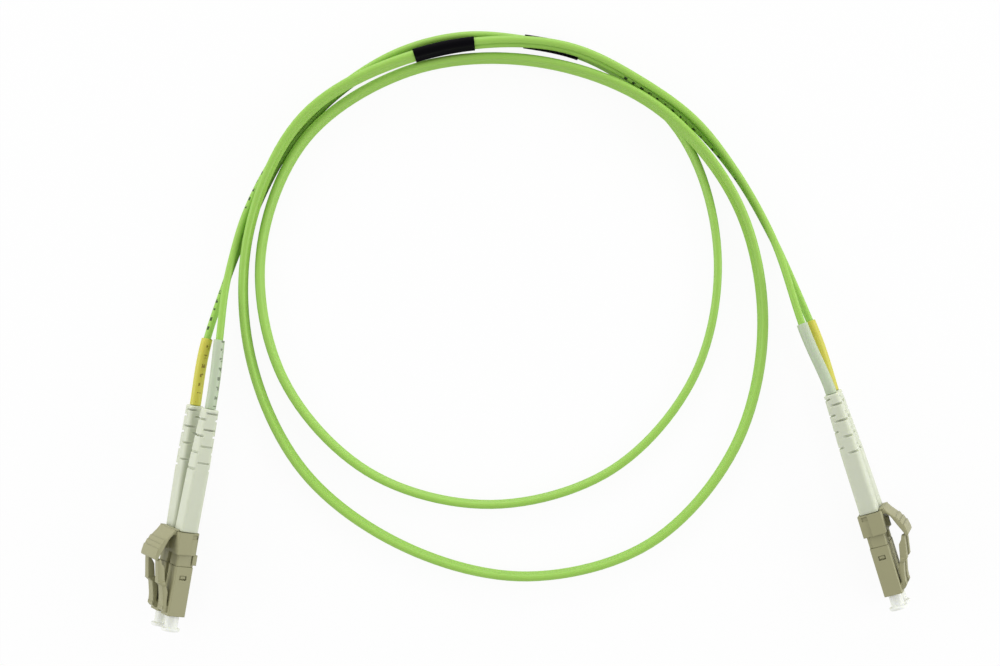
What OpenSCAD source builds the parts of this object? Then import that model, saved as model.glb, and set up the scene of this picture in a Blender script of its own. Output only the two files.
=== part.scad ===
// Duplex LC fibre patch cord, lying in two loose turns with a clipped pair of
// plugs at each end. The table is z = 0 and the origin lies between the plugs.
//
// Each pair of plugs has a frame of its own: x points forward from the rear
// face of the clip, y runs across the pair, z points to the latches and the
// plug axes lie at z = 0. A single plug's frame is the same on its own axis.

/* [Layout] */
// Width of the whole cord as it lies, plugs included
lay_w = 187; // [186:1:192]

/* [Connector] */
// Distance between the two plugs of a pair
pitch = 6.25; // [6.2:0.05:6.3]
// Width of the square nose of a plug
nose_w = 4.5; // [4.4:0.05:4.55]
// Diameter of the ceramic ferrule
ferrule_d = 1.249; // [1.245:0.001:1.255]
// Length that the ferrule stands out of the nose
ferrule_out = 1.6; // [1.2:0.1:1.8]
// Outer diameter of the dust cap's tube
cap_d = 3.2; // [3:0.05:3.3]

/* [Boot] */
// Length of the boot behind the clip
boot_l = 30; // [28:0.5:31]
// Width of the boot at the clip
boot_front_w = 4.6; // [4.4:0.1:4.8]
// Width of the boot at its rear end
boot_rear_w = 3.6; // [3.5:0.1:3.9]

/* [Cord] */
// Diameter of one leg of the cord
leg_d = 1.8; // [1.6:0.05:1.8]
// Outer diameter of the marker sleeve behind each boot
sleeve_d = 2.7; // [2.5:0.1:2.8]
// Wall of the black band where the legs part
band_wall = 0.25; // [0.15:0.05:0.25]

/* [Hidden] */
$fn = 48;

// Free space: between pieces that slide, around a pin in its hole, and
// between parts that only pass each other
slide_fit = 0.05;
pin_fit = 0.025;
clear = 0.2;

// Plug, front to back, as places on its own axis
nose_tip = 20.2;
nose_rear = 8.2;
seat_front = 16.4;
seat_rear = 15.2;
pocket_end = 11.5;
chamber_start = 5.7;
rear_w = nose_w - 0.2;
spigot_w = nose_w - 1.1;
spigot_end = 11.4;
bar_chamfer = 0.25;

// Barbs of the rear body, which snap into the windows of the nose
barb_x = 10.4;
barb_l = 0.7;
barb_h = 1.4;
barb_out = nose_w / 2 - 0.15;
window_gap = 0.3;

// Bores along the plug
flange_d = 2.6;
flange_l = 1.6;
tail_d = 1.6;
tail_start = 11;
buffer_d = 0.9;
nose_bore_d = flange_d + 2.5 * clear;
seat_hole_d = ferrule_d + 2 * clear;
recess_d = cap_d + 2 * clear;
chamber_d = 2.7;
wire_hole_d = 1.2;

// Crimp behind the rear body
post_d = 2.3;
post_l = 6.8;
crimp_d = 2.9;
crimp_rear = -8.5;
crimp_front = -0.5;
leg_start = 7;

// Spring between the rear body and the ferrule's flange
spring_d = 2.3;
wire_d = 0.25;
spring_turns = 5.5;
steps_per_turn = 12;
wire_sides = 6;

// Latch hinge on the nose and trigger hinge on the clip, as [x, z]
latch_pin = [18.2, 3.05];
trigger_pin = [0.3, 3.75];
knuckle_r = 0.42;
socket_r = 0.5;
latch_root_w = 2.8;
trigger_w = 9;

// Clip that holds the two plugs
clip_l = 5.3;
clip_bottom = -2.8;
clip_top = 3.1;
clip_slope = 0.4;
clip_wall = 0.65;
channel_w = rear_w + 2 * slide_fit;
clip_w = pitch + channel_w + 2 * clip_wall;

// Dust cap over the ferrule
cap_rear = 16.6;
cap_front = 24;
cap_rim_d = 4.5;
cap_rim_l = 0.7;
cap_bore_end = 22.3;

// Boot. It leans a little behind the crimp. Its slits are counted from its rear
// end, each with the height of its floor over the boot's axis: a short slit in
// each of two sides, then, a step further, a long one in the other two sides.
boot_mid = 15;
boot_mid_w = 4.4;
boot_corner_r = 0.9;
boot_bore_d = crimp_d + 2 * clear;
boot_gap = 0.1;
boot_lean = 1.5;
boot_slits = [[0.9, 1.15], [4.9, 1.15], [8.9, 1.65], [12.9, 1.75]];
slit_l = 0.4;
slit_step = 1.5;
short_slit_w = 3;

// Places of the two pairs: rear face of the clip, heading and roll
spread = lay_w / 187;
left_place = [[-83 * spread, -5, 6.35], -99.7, 58];
right_place = [[83.07 * spread, -0.44, 6.14], -72.8, -73];

// Middle of the cord from the left boot to the right boot. Each point is
// [x, y, z, turn, half gap]: turn is the angle of the line from leg a to leg b
// about the cord, from level, and half gap is half the distance between them.
route_by_hand = [
  [-75.5, 40.8, 5.6, 143, 2.05], [-72, 57.2, 2.8, 92, 1.05],
  [-67, 71.7, 1.75, 42, 1.1], [-59, 86.7, 1.75, 50, 0.97],
  [-45.5, 101.2, 1.75, 62, 0.92], [-28.5, 111.2, 1.8, 64, 0.92],
  [-14.5, 114.2, 1.9, 64, 0.92], [-0.5, 113.2, 2.05, 64, 0.92],
  [13, 110.2, 2.05, 64, 0.92], [37, 91.7, 1.85, 80, 0.92],
  [46.5, 62.2, 1.85, 90, 0.92], [41, 32.2, 1.85, 88, 0.92],
  [21, 9.2, 1.85, 84, 0.92], [-8.5, 0.7, 1.85, 82, 0.92],
  [-38.5, 8.7, 1.85, 80, 0.92], [-59, 31.2, 1.85, 78, 0.92],
  [-64.5, 61.2, 1.8, 76, 0.92], [-53.5, 89.7, 1.85, 70, 0.92],
  [-28, 106.2, 1.95, 66, 0.92], [2.5, 108.2, 3.5, 62, 0.92],
  [31, 97.2, 5.9, 62, 0.92], [51, 73.7, 4.4, 66, 0.92],
  [57.5, 44.2, 2, 68, 0.92], [50.5, 14.2, 1.85, 74, 0.92],
  [30, -8.8, 1.85, 78, 0.92], [0.5, -16.8, 1.85, 76, 0.92],
  [-29, -9.8, 1.85, 72, 0.92], [-54, 8.7, 1.9, 70, 0.92],
  [-67, 36.7, 2.05, 74, 0.92], [-67, 67.2, 3.8, 78, 0.92],
  [-53.5, 94.7, 5.9, 68, 0.92], [-27, 109.2, 5.8, 64, 0.92],
  [-12.5, 112.2, 5.75, 64, 0.92], [11.5, 110.7, 5.7, 64, 0.92],
  [27.5, 102.7, 5.9, 58, 0.97], [40, 93.7, 4.7, 56, 1.05],
  [50.5, 81.7, 2.4, 82, 1], [59, 67.2, 2.25, 94, 1.02],
  [67.4, 44.9, 5.9, 128, 1.95]
];

// Stretches of the route, as numbers of its points
last_point = len(route_by_hand) + 3;
left_sleeve = [1, 2];
right_sleeve = [last_point - 2, last_point - 1];
left_band = [9, 10];
right_band = [33, 34];
zipped = [9.5, 33.5];

leg_sides = 8;
sleeve_sides = 12;
band_steps = 6;
sleeve_fit = 0.08;
band_fit = 0.05;
web_t = 0.3;
web_bite = 0.02;

ENDS = ["left", "right"];
LEGS = ["a", "b"];
PLUG_PIECES = [
  "housing", "latch", "rear_body", "crimp_sleeve", "ferrule", "ferrule_flange",
  "spring", "fibre", "boot", "dust_cap", "id_sleeve"
];

// ---------------------------------------------------------------- cord path

function xyz(v) = [v[0], v[1], v[2]];
function unit(v) = v / norm(v);
function place_of(end) = end == "left" ? left_place : right_place;
function forward(place) = [cos(place[1]), sin(place[1]), 0];

// Side of its pair that a plug is on. Leg a leads to the lower plug of each
// pair, and the right pair is rolled the other way.
function side_of(end, leg) = (end == "left") == (leg == "b") ? 1 : -1;

// The left boots lean apart. The right ones lean the same way, the upper one half
// as far. A boot's lean lifts its rear end off the plug's axis.
function lean_of(end, leg) =
  end == "left" ? -side_of(end, leg) * boot_lean : leg == "a" ? -boot_lean : -boot_lean / 2;
function lift_of(end, leg) = (boot_l - leg_start) * tan(lean_of(end, leg));

// Boots turn with their legs, so their slits face different ways
function slit_turn_of(end, leg) = end == "left" ? (leg == "a" ? 50 : 0) : leg == "a" ? 45 : 60;

// Point of the route inside a plug pair: so far back behind the clip's rear
// face, with each leg lifted off its plug's axis
function lead_in(end, back, lift_a, lift_b) =
  let (place = place_of(end), rise = lift_b - lift_a,
       up = [sin(place[1]) * sin(place[2]), -cos(place[1]) * sin(place[2]), cos(place[2])],
       p = place[0] - back * forward(place) + (lift_a + lift_b) / 2 * up)
  [p[0], p[1], p[2], 180 + (end == "left" ? -1 : 1) * place[2] - atan(rise / pitch),
   norm([pitch, rise]) / 2];
function lead_in_at_boot(end) = lead_in(end, boot_l, lift_of(end, "a"), lift_of(end, "b"));

route = concat(
  [lead_in("left", leg_start, 0, 0), lead_in_at_boot("left")],
  [for (p = route_by_hand) [p[0] * spread, p[1], p[2], p[3], p[4]]],
  [lead_in_at_boot("right"), lead_in("right", leg_start, 0, 0)]
);

function span(i) = norm(xyz(route[i + 1]) - xyz(route[i]));
function flat(v) = [v[0], v[1], v[2], 0, 0];

// Rate of change along the route at a point: the slopes of the two spans
// beside it, each weighted by the other's length
function rate(i) =
  i < 2 ? -flat(forward(left_place))
  : i > last_point - 2 ? flat(forward(right_place))
  : let (a = span(i - 1), b = span(i))
    ((route[i] - route[i - 1]) * b / a + (route[i + 1] - route[i]) * a / b) / (a + b);
rates = [for (i = [0 : last_point]) rate(i)];

// Smooth curve through the route: u counts points, so 2.5 lies between 2 and 3
function cord_at(u) =
  let (i = min(floor(u), last_point - 1), t = u - i, h = span(i))
  (2 * t^3 - 3 * t^2 + 1) * route[i] + (t^3 - 2 * t^2 + t) * h * rates[i]
  + (3 * t^2 - 2 * t^3) * route[i + 1] + (t^3 - t^2) * h * rates[i + 1];
function heading_at(u) =
  let (i = min(floor(u), last_point - 1), t = u - i, h = span(i))
  unit(xyz((6 * t^2 - 6 * t) * (route[i] - route[i + 1])
    + (3 * t^2 - 4 * t + 1) * h * rates[i] + (3 * t^2 - 2 * t) * h * rates[i + 1]));

// Frame of the pair: middle, direction from leg a to leg b, the direction
// square to both that and the cord, and the half gap
function frame_at(u) =
  let (c = cord_at(u), t = heading_at(u), level = unit(cross([0, 0, 1], t)),
       across = cos(c[3]) * level + sin(c[3]) * cross(t, level))
  [xyz(c), across, cross(t, across), c[4]];
function stretch(ends) = [for (k = [0 : 2 * (ends[1] - ends[0])]) frame_at(ends[0] + k / 2)];

// Ring of a leg (side is -1 for leg a and 1 for leg b) or of its sleeve
function leg_ring(f, side, r, sides) =
  [for (k = [0 : sides - 1]) let (a = (k + 0.5) * 360 / sides)
    f[0] + (side * f[3] + r * cos(a)) * f[1] + r * sin(a) * f[2]];

// Ring around both legs: a half circle round each, joined by straight sides
function pair_ring(f, r) =
  [for (side = [1, -1], k = [0 : band_steps]) let (a = k * 180 / band_steps - side * 90)
    f[0] + (side * f[3] + r * cos(a)) * f[1] + r * sin(a) * f[2]];

// Ring of the web between the legs, which bites into both
function web_ring(f) =
  let (w = f[3] - leg_d / 2 * cos(180 / leg_sides) + web_bite, h = web_t / 2)
  [f[0] + w * f[1] - h * f[2], f[0] + w * f[1] + h * f[2],
   f[0] - w * f[1] + h * f[2], f[0] - w * f[1] - h * f[2]];

// ------------------------------------------------------------- basic shapes

// Sides of a skin over rings of n points; inward turns them to face inside
function skin(count, n, first, inward) =
  [for (i = [0 : count - 2], k = [0 : n - 1])
    let (a = first + i * n + k, b = first + i * n + (k + 1) % n, c = b + n, d = a + n)
    each inward ? [[a, c, d], [a, b, c]] : [[a, d, c], [a, c, b]]];

// Solid through rings
module swept(rings) {
  n = len(rings[0]);
  last = (len(rings) - 1) * n;
  polyhedron([for (ring = rings) each ring], concat(
    [[for (k = [0 : n - 1]) k], [for (k = [n - 1 : -1 : 0]) last + k]],
    skin(len(rings), n, 0, false)));
}

// Pipe between outer and inner rings of as many points
module pipe(outer, inner) {
  n = len(outer[0]);
  start = len(outer) * n;
  last = start - n;
  polyhedron([for (ring = concat(outer, inner)) each ring], concat(
    skin(len(outer), n, 0, false), skin(len(inner), n, start, true),
    [for (k = [0 : n - 1]) let (m = (k + 1) % n) each [
      [k, m, start + m], [k, start + m, start + k],
      [last + m, last + k, start + last + k], [last + m, start + last + k, start + last + m]]]));
}

// 2D outline in y and z, run along x
module along_x(x0, x1) {
  translate([x0, 0, 0]) rotate([90, 0, 90]) linear_extrude(x1 - x0) children();
}

// 2D outline in x and z, run across y
module across_y(w) {
  rotate([90, 0, 0]) translate([0, 0, -w / 2]) linear_extrude(w) children();
}

// Square bar with its long edges chamfered
module bar(x0, x1, w, chamfer = 0) {
  h = w / 2;
  c = h - chamfer;
  along_x(x0, x1)
    polygon([[-h, -c], [-c, -h], [c, -h], [h, -c], [h, c], [c, h], [-c, h], [-h, c]]);
}

module rod(x0, x1, d) {
  translate([x0, 0, 0]) rotate([0, 90, 0]) cylinder(d = d, h = x1 - x0);
}

module block(x0, x1, y0, y1, z0, z1) {
  translate([x0, y0, z0]) cube([x1 - x0, y1 - y0, z1 - z0]);
}

// Rod across the plug at [x, z]
module cross_pin(at, r, w) {
  translate([at[0], w / 2, at[1]]) rotate([90, 0, 0]) cylinder(r = r, h = w);
}

module at_pair(end) {
  place = place_of(end);
  translate(place[0]) rotate([0, 0, place[1]]) rotate([place[2], 0, 0]) children();
}

module at_plug(end, leg) {
  at_pair(end) translate([0, side_of(end, leg) * pitch / 2, 0]) children();
}

// --------------------------------------------------------- pieces of a plug

// Square nose: it slides into the adapter and holds the ferrule's seat
module housing() {
  color("#9d9b78") difference() {
    union() {
      bar(nose_rear, nose_tip, nose_w, bar_chamfer);
      difference() {
        across_y(latch_root_w + 0.1)
          polygon([[18.1, 2], [18.1, 3.6], [18.8, 3.6], [19.4, 3], [19.6, 2]]);
        cross_pin(latch_pin, socket_r, 2 * nose_w);
      }
    }
    bar(nose_rear - 1, pocket_end, spigot_w + 2 * slide_fit);
    rod(pocket_end - 0.1, seat_rear, nose_bore_d);
    rod(seat_rear - 0.1, seat_front + 0.1, seat_hole_d);
    rod(seat_front, nose_tip + 1, recess_d);
    block(barb_x - slide_fit, barb_x + barb_l + window_gap, -nose_w, nose_w,
      -barb_h / 2 - window_gap / 2, barb_h / 2 + window_gap / 2);
  }
}

// Latch: a bent arm from its root at the nose's front, with the two shoulders
// that lock behind the adapter's catch
module latch() {
  color("#9d9b78") {
    intersection() {
      across_y(nose_w)
        polygon([[7, 5.75], [7.05, 6.3], [7.5, 6.45], [9, 6.22], [12.7, 5.55], [13.4, 4.5],
          [16.6, 3.72], [latch_pin[0], latch_pin[1] + 0.37], [latch_pin[0], latch_pin[1] - 0.3],
          [17, 2.62], [14.6, 2.75], [12.9, 3.7], [10.7, 4.15], [9, 4.55], [7.9, 5.45]]);
      linear_extrude(10)
        polygon([[6.5, -1.15], [12.3, -1.15], [12.3, -1.5], [13.4, -1.5], [13.4, -1.35],
          [19, -1.35], [19, 1.35], [13.4, 1.35], [13.4, 1.5], [12.3, 1.5],
          [12.3, 1.15], [6.5, 1.15]]);
    }
    cross_pin(latch_pin, knuckle_r, latch_root_w);
  }
}

// Rear body: held by the clip, with the spring's chamber and the crimp post
module rear_body() {
  color("#9d9b78") difference() {
    union() {
      bar(0, nose_rear - slide_fit, rear_w, bar_chamfer);
      bar(nose_rear - 0.2, spigot_end, spigot_w);
      block(barb_x, barb_x + barb_l, -barb_out, barb_out, -barb_h / 2, barb_h / 2);
      rod(-post_l, 0.1, post_d);
    }
    rod(chamber_start, spigot_end + 1, chamber_d);
    rod(-post_l - 1, chamber_start + 0.1, wire_hole_d);
    for (side = [-1, 1]) translate([0, side * rear_w / 2, 0])
      block(clip_l, nose_rear + 1, -0.08, 0.08, -rear_w, -1.4);
  }
}

// Crimp sleeve: squeezed over the post, its neck round the leg's jacket
module crimp_sleeve() {
  color("silver") difference() {
    rod(crimp_rear, crimp_front, crimp_d);
    rod(-post_l, crimp_front + 1, post_d + 2 * slide_fit);
    rod(crimp_rear - 1, -post_l + 0.1, leg_d + 2 * slide_fit);
  }
}

module ferrule() {
  color("white") rod(seat_rear - 0.8, nose_tip + ferrule_out, ferrule_d);
}

// Flange: the steel collar that the ferrule is pressed into, with a tail
// that guides the spring
module ferrule_flange() {
  front = seat_rear - slide_fit;
  color("lightsteelblue") difference() {
    union() {
      rod(front - flange_l, front, flange_d);
      rod(tail_start, front - flange_l + 0.1, tail_d);
    }
    rod(seat_rear - 0.8, seat_rear + 1, ferrule_d + 0.01);
    rod(tail_start - 1, seat_rear - 0.7, buffer_d + 2 * slide_fit);
  }
}

// Coil spring behind the flange
module spring() {
  start = chamber_start + slide_fit + wire_d / 2;
  reach = seat_rear - 2 * slide_fit - flange_l - wire_d / 2 - start;
  r = (spring_d - wire_d) / 2;
  steps = spring_turns * steps_per_turn;
  color("silver") swept([for (i = [0 : steps])
    let (a = i * 360 / steps_per_turn, out = [0, cos(a), sin(a)])
    [for (k = [0 : wire_sides - 1]) let (b = k * 360 / wire_sides)
      [start + reach * i / steps, 0, 0] + (r + wire_d / 2 * cos(b)) * out
      - [wire_d / 2 * sin(b), 0, 0]]]);
}

// Buffered fibre from the cut end of the leg's jacket to the ferrule
module fibre() {
  color("ivory") rod(-post_l + 0.7, seat_rear - 0.85, buffer_d);
}

module rounded_square(w, r) {
  offset(r) square(w - 2 * r, center = true);
}

// Thin slice of the boot's outside at x
module boot_slice(x, w) {
  along_x(x, x + 0.01) rounded_square(w, boot_corner_r, $fn = 16);
}

// Slits at x in the sides of the boot that the angles point at
module boot_slit(x, angles, w, depth_to) {
  for (a = angles) rotate([a, 0, 0])
    block(x, x + slit_l, -w / 2, w / 2, depth_to, boot_front_w);
}

// Boot: bends with the leg where it is slit
module boot(lean, slit_turn) {
  color("#cdd2be") translate([-leg_start, 0, 0]) rotate([0, lean, 0])
    translate([leg_start, 0, 0]) difference() {
      union() {
        hull() {
          boot_slice(-boot_gap - 0.01, boot_front_w);
          boot_slice(-boot_mid, boot_mid_w);
        }
        hull() {
          boot_slice(-boot_mid, boot_mid_w);
          boot_slice(boot_gap - boot_l, boot_rear_w);
        }
      }
      rod(crimp_rear - 0.3, 1, boot_bore_d);
      rod(-boot_l - 1, 0, leg_d + clear);
      for (s = boot_slits) {
        boot_slit(s[0] - boot_l, [slit_turn + 90, slit_turn + 270], short_slit_w, s[1]);
        boot_slit(s[0] + slit_step - boot_l, [slit_turn, slit_turn + 180], 2 * boot_front_w, s[1]);
      }
    }
}

// Dust cap: a tube pushed over the ferrule, with a rim to pull it by
module dust_cap() {
  color("whitesmoke") difference() {
    union() {
      rod(cap_rear, cap_front, cap_d);
      rod(cap_front - cap_rim_l, cap_front, cap_rim_d);
    }
    rod(cap_rear - 1, cap_bore_end, ferrule_d + 2 * pin_fit);
  }
}

// ---------------------------------------------------------- clip and trigger

// Clip: holds the two plugs side by side; the trigger hinges on its top. Its
// bottom stops short of the +y wall, and a hook in front goes round that corner.
module clip() {
  half = clip_w / 2;
  color("#9d9b78") difference() {
    union() {
      intersection() {
        bar_c = 0.3;
        along_x(0, clip_l) polygon([
          [-half, clip_bottom + bar_c], [-half + bar_c, clip_bottom], [4.3, clip_bottom],
          [4.3, -2], [half, -2], [half, clip_top - bar_c], [half - bar_c, clip_top],
          [-half + bar_c, clip_top], [-half, clip_top - bar_c]]);
        across_y(2 * clip_w) polygon([[-1, -5], [clip_l + 1, -5],
          [clip_l + 1, clip_top - clip_slope], [clip_l, clip_top - clip_slope],
          [0.9, clip_top], [-1, clip_top]]);
      }
      block(1.9, clip_l + 1.8, -0.7, 0.7, 0.5, clip_top - clip_slope);
      block(2.2, 4.6, -0.7, 0.7, 2.5, clip_top + 0.5);
      block(clip_l - 0.2, clip_l + 2.3, 3.9, half - 0.4, clip_bottom + 0.1, -1.6);
      across_y(trigger_w)
        polygon([[-0.45, 2.5], [-0.45, trigger_pin[1]], [trigger_pin[0], trigger_pin[1]],
          [trigger_pin[0], clip_top + 0.25], [0.9, clip_top + 0.25], [0.9, 2.5]]);
    }
    for (side = [-1, 1]) {
      translate([0, side * pitch / 2, 0]) bar(-1, nose_rear, channel_w);
      translate([0, side * half, 0]) {
        block(-1, clip_l + 0.1, -0.2, 0.2, clip_bottom - 1, -0.55);
        block(0.4, 1.4, -0.42, 0.42, -1.95, -0.65);
      }
    }
    cross_pin(trigger_pin, socket_r, trigger_w + 1);
  }
}

// Trigger: the curved thumb lever whose tip presses both latches down. Three
// grip ribs cross its back.
module trigger() {
  back = [[-0.08, 3.95], [0.5, 4.15], [1.5, 5], [2.65, 5.87], [3.8, 6.62], [5, 7.28],
    [6.2, 7.64], [7.3, 7.62]];
  tip = [[7.95, 7.35], [8.3, 6.85]];
  belly = [[7.1, 6.6], [6.05, 6.38], [5.45, 6.12], [4.3, 5.6], [3.1, 5.12], [1.95, 4.62],
    [1.1, 4.05], [0.68, 3.65], [0.3, 3.5]];
  color("#9d9b78") {
    across_y(trigger_w) polygon(concat(back, tip, belly));
    cross_pin(trigger_pin, knuckle_r, trigger_w);
    for (rib = [back[4], back[5], back[6]]) cross_pin(rib - [0, 0.12], 0.28, trigger_w - 1);
  }
}

// ----------------------------------------------------------------- the cord

module leg(side) {
  color("#93c95a")
    swept([for (f = stretch([0, last_point])) leg_ring(f, side, leg_d / 2, leg_sides)]);
}

// Marker sleeve round one leg behind its boot: yellow on a, white on b
module id_sleeve(end, leg) {
  side = leg == "a" ? -1 : 1;
  frames = stretch(end == "left" ? left_sleeve : right_sleeve);
  color(leg == "a" ? "#c3be46" : "#b9c6aa") pipe(
    [for (f = frames) leg_ring(f, side, sleeve_d / 2, sleeve_sides)],
    [for (f = frames) leg_ring(f, side, leg_d / 2 + sleeve_fit, sleeve_sides)]);
}

// Thin web that joins the legs into a zip cord between the two bands
module zip_web() {
  color("#93c95a") swept([for (f = stretch(zipped)) web_ring(f)]);
}

// Black heat-shrink band where the legs part
module band(ends) {
  inner = leg_d / 2 + band_fit;
  color("#100c16") pipe(
    [for (f = stretch(ends)) pair_ring(f, inner + band_wall)],
    [for (f = stretch(ends)) pair_ring(f, inner)]);
}

for (end = ENDS, leg = LEGS) {
  plug = str(end, "_", leg, "_");
  lean = lean_of(end, leg);
  slit_turn = slit_turn_of(end, leg);
  at_plug(end, leg) housing();
  at_plug(end, leg) latch();
  at_plug(end, leg) rear_body();
  at_plug(end, leg) crimp_sleeve();
  at_plug(end, leg) ferrule();
  at_plug(end, leg) ferrule_flange();
  at_plug(end, leg) spring();
  at_plug(end, leg) fibre();
  at_plug(end, leg) boot(lean, slit_turn);
  at_plug(end, leg) dust_cap();
  id_sleeve(end, leg);
}
for (end = ENDS) {
  at_pair(end) clip();
  at_pair(end) trigger();
}
leg(-1);  // leg_a
leg(1);  // leg_b
zip_web();
band(left_band);  // band_left
band(right_band);  // band_right
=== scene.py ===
# %% [markdown]
# # A duplex fibre patch cord
# The object is a thin pair of fibre cords joined like a zip cord, lying in two
# loose turns. Each end splits into two legs that go into a clipped pair of
# plugs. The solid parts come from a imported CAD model, which is loaded first and
# never moved. Everything made here is laid over it, in the same place, and
# rides on the same moving bodies.

import bmesh
import bpy
import numpy as np
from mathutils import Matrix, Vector


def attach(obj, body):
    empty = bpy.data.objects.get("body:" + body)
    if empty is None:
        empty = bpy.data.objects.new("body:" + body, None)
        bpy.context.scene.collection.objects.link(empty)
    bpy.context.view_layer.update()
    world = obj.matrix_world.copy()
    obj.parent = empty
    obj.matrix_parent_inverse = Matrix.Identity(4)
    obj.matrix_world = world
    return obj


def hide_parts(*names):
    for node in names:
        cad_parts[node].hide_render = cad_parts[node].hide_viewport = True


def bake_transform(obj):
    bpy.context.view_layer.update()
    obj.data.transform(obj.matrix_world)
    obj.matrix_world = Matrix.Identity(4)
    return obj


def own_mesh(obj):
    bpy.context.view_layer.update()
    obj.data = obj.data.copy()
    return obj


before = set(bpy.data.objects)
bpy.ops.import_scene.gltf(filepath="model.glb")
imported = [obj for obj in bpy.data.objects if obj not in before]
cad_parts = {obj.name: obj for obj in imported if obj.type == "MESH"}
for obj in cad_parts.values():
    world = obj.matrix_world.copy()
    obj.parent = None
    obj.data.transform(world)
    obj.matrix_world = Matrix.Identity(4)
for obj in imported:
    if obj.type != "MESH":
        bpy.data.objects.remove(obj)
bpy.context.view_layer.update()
MM = 0.001

# %% [markdown]
# ## The camera
# The object is seen from straight above, from half a metre. A lens a little
# longer than a portrait lens keeps the near plugs from looking stretched.

# %% Camera over the table
CAMERA_AT = Vector((-6.34, 42.36, 510)) * MM
VIEW_WIDTH = 243.9 * MM
SENSOR = 36

camera_data = bpy.data.cameras.new("camera")
camera_data.sensor_width = SENSOR
camera_data.lens = SENSOR * CAMERA_AT.z / VIEW_WIDTH
camera = bpy.data.objects.new("camera", camera_data)
camera.location = CAMERA_AT
bpy.context.scene.collection.objects.link(camera)
bpy.context.scene.camera = camera
print("lens", round(camera_data.lens, 1), "mm")

# %% [markdown]
# ## Where the plugs lie
# Each clipped pair has a frame of its own: x forward from the rear face of the
# clip, y across the pair, z towards the latches. The pair is placed by a
# position, a heading about the vertical and a roll about its own length. Every
# plug piece below is worked out in that frame, in millimetres, and one
# function carries it into the scene.

# %% Pair frames
PITCH = 6.25
PLACES = {
    "left": ((-83.0, -5.0, 6.35), -99.7, 58.0),
    "right": ((83.07, -0.44, 6.14), -72.8, -73.0),
}
PLUGS = [(end, leg) for end in ("left", "right") for leg in ("a", "b")]


def pair_axes(end):
    """Columns are the pair's x, y and z: a roll about x, then a turn about z."""
    _, heading, roll = PLACES[end]
    h, r = np.radians(heading), np.radians(roll)
    turn = np.array([[np.cos(h), -np.sin(h), 0], [np.sin(h), np.cos(h), 0], [0, 0, 1]])
    tilt = np.array([[1, 0, 0], [0, np.cos(r), -np.sin(r)], [0, np.sin(r), np.cos(r)]])
    return turn @ tilt


def side_of(end, leg):
    """Leg b is on the +y side of the left pair and on the -y side of the right."""
    return 1 if (end == "left") == (leg == "b") else -1


def to_scene(points, end, leg=None):
    """Plug points in mm to the scene in metres: position + axes x point."""
    shift = np.array([0, side_of(end, leg) * PITCH / 2 if leg else 0, 0])
    place = np.array(PLACES[end][0])
    return ((np.asarray(points) + shift) @ pair_axes(end).T + place) * MM


for end in PLACES:
    print(end, "pair points along", np.round(pair_axes(end)[:, 0], 3).tolist())

# %% [markdown]
# ## Surfaces from numbers
# Curves with a bevel, or cubes under modifiers, could make many of these pieces.
# But nearly every piece here is long, with a section that changes, so each is a
# grid of points instead: one direction runs along the piece, the other goes
# round its section. The points are worked out as whole arrays. The faces only
# say which grid neighbours belong together, so one function makes them for
# every piece, and closes the ends where the grid is open.

# %% Mesh from a grid
MAP_NAME = "along_and_round"
SAME_POINT = 1e-7
NO_LENGTH = 1e-8


def grid_faces(rows, columns, wrap_rows):
    """Quads (i, k), (i, k + 1), (i + 1, k + 1), (i + 1, k). The last column joins
    the first, and so does the last row where the rows wrap."""
    i = np.arange(rows if wrap_rows else rows - 1)[:, None]
    k = np.arange(columns)[None, :]
    i2, k2 = (i + 1) % rows, (k + 1) % columns
    corners = [i * columns + k, i * columns + k2, i2 * columns + k2, i2 * columns + k]
    return np.stack([c.ravel() for c in corners], axis=1)


def outward(mesh):
    """Merges doubles, then turns all the faces to point out of the closed shape."""
    work = bmesh.new()
    work.from_mesh(mesh)
    bmesh.ops.remove_doubles(work, verts=work.verts, dist=SAME_POINT)
    bmesh.ops.dissolve_degenerate(work, dist=NO_LENGTH, edges=work.edges)
    bmesh.ops.recalc_face_normals(work, faces=work.faces)
    work.to_mesh(mesh)
    work.free()


def add_piece(name, mesh, material, sharp=40):
    """Object at the origin with smooth faces, and edges sharp above sharp degrees."""
    mesh.materials.append(material)
    mesh.shade_smooth()
    mesh.set_sharp_from_angle(angle=np.radians(sharp))
    piece = bpy.data.objects.new(name, mesh)
    bpy.context.scene.collection.objects.link(piece)
    return piece


def grid_mesh(name, grid, wrap_rows=False, uv=None):
    """Closed mesh from a (rows, columns, 3) grid in metres whose columns wrap.
    Open rows are closed by a flat face at each end. uv is (rows, columns, 2). A
    face over the seam has a whole turn added at its first column, so that the
    map runs on past 1 and not back to 0."""
    rows, columns = grid.shape[:2]
    faces = grid_faces(rows, columns, wrap_rows).tolist()
    if not wrap_rows:
        faces.append(list(range(columns)))
        faces.append(list(range(rows * columns - 1, (rows - 1) * columns - 1, -1)))
    mesh = bpy.data.meshes.new(name)
    mesh.from_pydata(grid.reshape(-1, 3).tolist(), [], faces)
    if uv is not None:
        layer = mesh.uv_layers.new(name=MAP_NAME)
        corner = np.empty(len(mesh.loops), dtype=np.int32)
        mesh.loops.foreach_get("vertex_index", corner)
        values = uv.reshape(-1, 2)[corner].copy()
        column = corner % columns
        face_of = np.repeat(np.arange(len(mesh.polygons)), [len(f) for f in faces])
        touches_last = np.zeros(len(mesh.polygons), bool)
        np.logical_or.at(touches_last, face_of, column == columns - 1)
        values[touches_last[face_of] & (column == 0), 1] += 1
        layer.data.foreach_set("uv", values.ravel())
    outward(mesh)
    return mesh


print("a grid of 3 x 4 points has", len(grid_faces(3, 4, False)), "faces round its side")

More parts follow.
